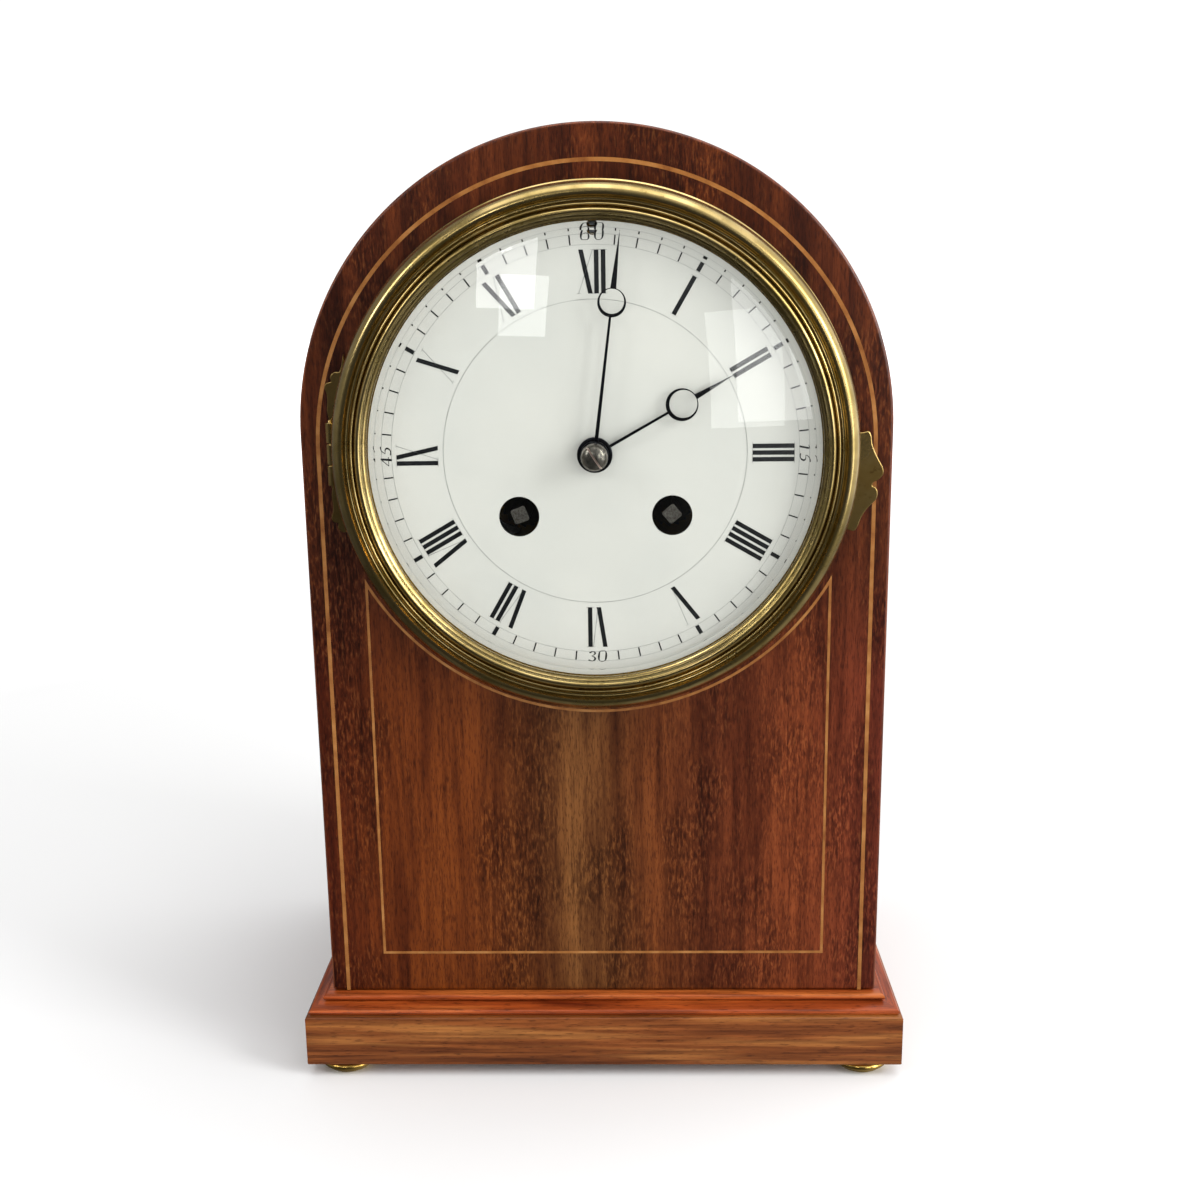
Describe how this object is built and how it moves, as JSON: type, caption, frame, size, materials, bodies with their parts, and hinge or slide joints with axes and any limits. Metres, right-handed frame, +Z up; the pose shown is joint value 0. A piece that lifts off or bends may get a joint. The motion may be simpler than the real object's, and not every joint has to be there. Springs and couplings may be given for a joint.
{
  "type": "bracket clock",
  "caption": "Round-topped wooden mantel clock with a hinged brass bezel, enamel dial, and a spring-driven striking pendulum movement with a hinged rear door.",
  "frame": {"origin": "on the surface under the feet, at the middle of the clock's width and of its depth from the glass to the rear door", "axes": "+Z up, -Y towards the viewer of the dial, +X to the right of the dial"},
  "size_m": [0.1654, 0.1344, 0.255],
  "materials": {
    "mahogany_front": "figured mahogany veneer, French polished",
    "mahogany_case": "mahogany veneer, French polished",
    "mahogany_base": "solid mahogany, French polished",
    "stringing": "boxwood line, flush and polished",
    "brass_feet": "turned brass, slightly tarnished",
    "brass_bezel": "spun brass, polished and lacquered",
    "brass_movement": "brushed brass",
    "steel": "grey polished steel",
    "blued_steel": "steel blued almost to black",
    "enamel": "white vitreous enamel on a metal plate",
    "bell_metal": "turned bell metal",
    "glass": "clear convex glass with a bevelled edge"
  },
  "bodies": {
    "case": {"front_board": "mahogany_front", "outer_stringing": "stringing", "inner_stringing": "stringing", "case_shell": "mahogany_case", "back_board": "mahogany_case", "base_block": "mahogany_base", "base_moulding": "mahogany_base", "foot_front_left": "brass_feet", "foot_front_right": "brass_feet", "foot_rear_left": "brass_feet", "foot_rear_right": "brass_feet", "dial_ring": "brass_bezel", "dial_plate": "enamel", "bezel_hinge_pin": "brass_bezel", "hinge_plate": "brass_bezel", "front_plate": "brass_movement", "back_plate": "brass_movement", "pillar_upper_right": "brass_movement", "pillar_upper_left": "brass_movement", "pillar_lower_left": "brass_movement", "pillar_lower_right": "brass_movement", "strap_left": "brass_movement", "strap_right": "brass_movement", "strap_screw_left": "steel", "strap_screw_right": "steel", "bell": "bell_metal", "bell_stand": "steel", "suspension_cock": "brass_movement", "rear_ring": "brass_bezel", "rear_hinge_pin": "brass_bezel"},
    "bezel": {"bezel_frame": "brass_bezel", "bezel_glass": "glass", "glass_retaining_ring": "brass_bezel", "thumb_tab": "brass_bezel"},
    "rear_door": {"rear_door": "brass_bezel"},
    "minute": {"centre_wheel": "brass_movement", "cannon_pinion": "steel", "minute_hand": "blued_steel", "hand_nut": "blued_steel"},
    "hour": {"hour_wheel": "brass_movement", "hour_hand": "blued_steel"},
    "minute_wheel": {"minute_wheel": "brass_movement"},
    "second_wheel": {"second_wheel": "brass_movement"},
    "going_barrel": {"going_barrel": "brass_movement"},
    "third_wheel": {"third_wheel": "brass_movement"},
    "escape_wheel": {"escape_wheel": "brass_movement"},
    "pallets": {"pallet_arbor": "steel"},
    "pendulum": {"suspension_spring": "steel", "pendulum_rod": "steel", "pendulum_bob": "brass_movement"},
    "going_winding": {"going_arbor": "steel"},
    "going_click": {"going_click": "steel"},
    "strike_barrel": {"strike_barrel": "brass_movement"},
    "strike_winding": {"strike_arbor": "steel"},
    "strike_click": {"strike_click": "steel"},
    "strike_second": {"strike_second_wheel": "brass_movement"},
    "pin_wheel": {"pin_wheel": "brass_movement"},
    "fly": {"fly": "brass_movement"},
    "hammer": {"hammer": "steel"},
    "regulator": {"regulator_arbor": "steel"}
  },
  "joints": [
    {"name": "bezel_hinge", "type": "hinge", "parent": "case", "child": "bezel", "pos_m": [-0.0674, -0.0506, 0.1745], "axis": [0, 0, -1], "range_deg": [0, 110]},
    {"name": "rear_door_hinge", "type": "hinge", "parent": "case", "child": "rear_door", "pos_m": [0.0624, 0.0629, 0.1745], "axis": [0, 0, -1], "range_deg": [0, 110]},
    {"name": "minute_turn", "type": "hinge", "parent": "case", "child": "minute", "pos_m": [0, 0, 0.1745], "axis": [0, 1, 0], "continuous": true},
    {"name": "hour_turn", "type": "hinge", "parent": "case", "child": "hour", "pos_m": [0, 0, 0.1745], "axis": [0, 1, 0], "continuous": true},
    {"name": "minute_wheel_turn", "type": "hinge", "parent": "case", "child": "minute_wheel", "pos_m": [0, 0, 0.16485], "axis": [0, 1, 0], "continuous": true},
    {"name": "second_wheel_turn", "type": "hinge", "parent": "case", "child": "second_wheel", "pos_m": [0.01448, 0, 0.17879], "axis": [0, 1, 0], "continuous": true},
    {"name": "going_barrel_turn", "type": "hinge", "parent": "case", "child": "going_barrel", "pos_m": [0.0194, 0, 0.1588], "axis": [0, 1, 0], "continuous": true},
    {"name": "third_wheel_turn", "type": "hinge", "parent": "case", "child": "third_wheel", "pos_m": [0.00185, 0, 0.18829], "axis": [0, 1, 0], "continuous": true},
    {"name": "escape_wheel_turn", "type": "hinge", "parent": "case", "child": "escape_wheel", "pos_m": [0, 0, 0.1991], "axis": [0, 1, 0], "continuous": true},
    {"name": "pendulum_swing", "type": "hinge", "parent": "case", "child": "pendulum", "pos_m": [0, 0.0097, 0.211], "axis": [0, 1, 0], "range_deg": [-4, 4]},
    {"name": "pallet_rock", "type": "hinge", "parent": "case", "child": "pallets", "pos_m": [0, 0, 0.211], "axis": [0, 1, 0], "range_deg": [-4, 4]},
    {"name": "going_winding", "type": "hinge", "parent": "case", "child": "going_winding", "pos_m": [0.0194, 0, 0.1588], "axis": [0, 1, 0], "range_deg": [0, 1620]},
    {"name": "going_click_lift", "type": "hinge", "parent": "case", "child": "going_click", "pos_m": [0.02718, 0, 0.15335], "axis": [0, 1, 0], "range_deg": [0, 12]},
    {"name": "strike_winding", "type": "hinge", "parent": "case", "child": "strike_winding", "pos_m": [-0.0194, 0, 0.1588], "axis": [0, 1, 0], "range_deg": [0, 1620]},
    {"name": "strike_click_lift", "type": "hinge", "parent": "case", "child": "strike_click", "pos_m": [-0.02718, 0, 0.15335], "axis": [0, 1, 0], "range_deg": [0, 12]},
    {"name": "pin_wheel_turn", "type": "hinge", "parent": "case", "child": "pin_wheel", "pos_m": [-0.01935, 0, 0.19217], "axis": [0, 1, 0], "continuous": true},
    {"name": "strike_second_turn", "type": "hinge", "parent": "case", "child": "strike_second", "pos_m": [-0.01448, 0, 0.17879], "axis": [0, 1, 0], "continuous": true},
    {"name": "strike_barrel_turn", "type": "hinge", "parent": "case", "child": "strike_barrel", "pos_m": [-0.0194, 0, 0.1588], "axis": [0, 1, 0], "continuous": true},
    {"name": "fly_turn", "type": "hinge", "parent": "case", "child": "fly", "pos_m": [-0.02822, 0, 0.19668], "axis": [0, 1, 0], "continuous": true},
    {"name": "hammer_lift", "type": "hinge", "parent": "case", "child": "hammer", "pos_m": [-0.03604, 0, 0.18656], "axis": [0, 1, 0], "range_deg": [0, 12]},
    {"name": "regulator_turn", "type": "hinge", "parent": "case", "child": "regulator", "pos_m": [0, 0, 0.229], "axis": [0, 1, 0], "range_deg": [-720, 720]}
  ],
  "couplings": [
    {"joint": "hour_turn", "follows": "minute_turn", "ratio": 0.083333},
    {"joint": "minute_wheel_turn", "follows": "minute_turn", "ratio": -0.33333},
    {"joint": "second_wheel_turn", "follows": "minute_turn", "ratio": -0.16667},
    {"joint": "going_barrel_turn", "follows": "minute_turn", "ratio": 0.027778},
    {"joint": "third_wheel_turn", "follows": "minute_turn", "ratio": -10},
    {"joint": "escape_wheel_turn", "follows": "minute_turn", "ratio": 120},
    {"joint": "pallet_rock", "follows": "pendulum_swing", "ratio": 1},
    {"joint": "strike_second_turn", "follows": "pin_wheel_turn", "ratio": -0.1},
    {"joint": "strike_barrel_turn", "follows": "pin_wheel_turn", "ratio": 0.016667},
    {"joint": "fly_turn", "follows": "pin_wheel_turn", "ratio": -10}
  ]
}
